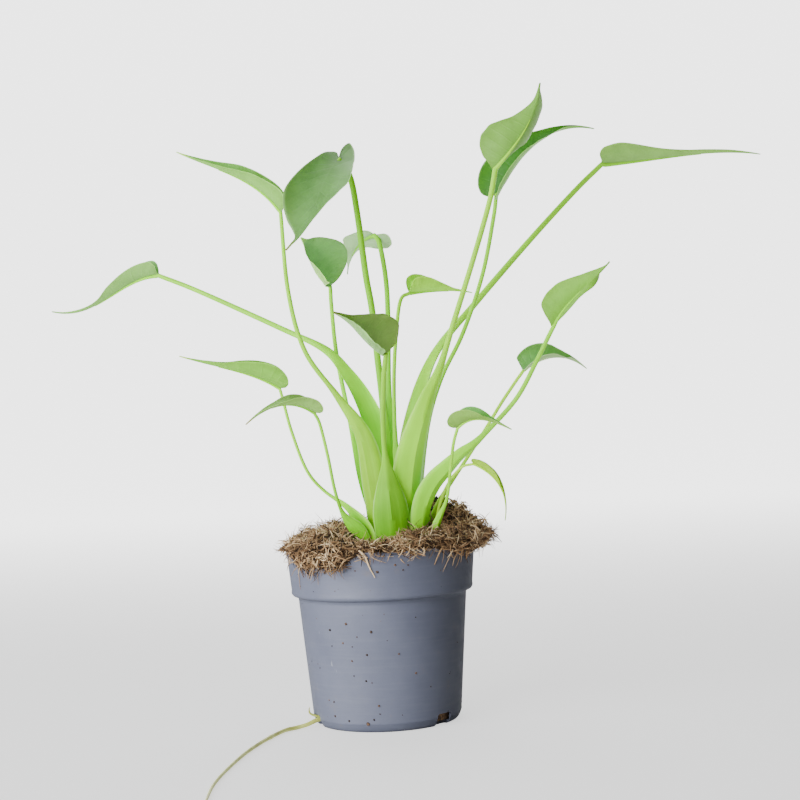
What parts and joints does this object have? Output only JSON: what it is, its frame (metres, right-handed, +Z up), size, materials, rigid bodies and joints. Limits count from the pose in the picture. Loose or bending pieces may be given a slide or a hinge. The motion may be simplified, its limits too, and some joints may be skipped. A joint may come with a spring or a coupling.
{
  "type": "potted alocasia",
  "caption": "Small alocasia in a tapered plastic nursery pot: clasping leaf stalks, cupped arrow-heart blades with drip tips, fibrous soil and a trailing root.",
  "frame": {"origin": "middle of the pot's flat underside", "axes": "+Z up, +X to the right as seen from the front, -Y towards the front"},
  "size_m": [0.4354, 0.2804, 0.3464],
  "materials": {
    "pot": "satin injection-moulded blue-grey plastic with a few specks of soil",
    "soil": "loose brown peat and coir fibre, dull",
    "corm": "rough brown skin",
    "root": "smooth yellow-green living root",
    "stalk": "smooth lime green living stalk with a faint gloss",
    "blade": "satin bluish-green leaf, paler underneath"
  },
  "bodies": {
    "root": {"pot": "pot", "soil": "soil", "corm": "corm", "trailing_root": "root", "stalk_far_left": "stalk", "stalk_upper_left": "stalk", "stalk_tall_front": "stalk", "stalk_back_cup": "stalk", "stalk_back_drooping": "stalk", "stalk_centre_right": "stalk", "stalk_front_cup": "stalk", "stalk_upper_right": "stalk", "stalk_upper_right_rear": "stalk", "stalk_far_right": "stalk", "stalk_right": "stalk", "stalk_right_dark": "stalk", "stalk_front_small": "stalk", "stalk_young_curled": "stalk", "stalk_left": "stalk", "stalk_left_low": "stalk", "blade_far_left": "blade", "blade_upper_left": "blade", "blade_tall_front": "blade", "blade_back_cup": "blade", "blade_back_drooping": "blade", "blade_centre_right": "blade", "blade_front_cup": "blade", "blade_upper_right": "blade", "blade_upper_right_rear": "blade", "blade_far_right": "blade", "blade_right": "blade", "blade_right_dark": "blade", "blade_front_small": "blade", "blade_young_curled": "blade", "blade_left": "blade", "blade_left_low": "blade"}
  },
  "joints": []
}
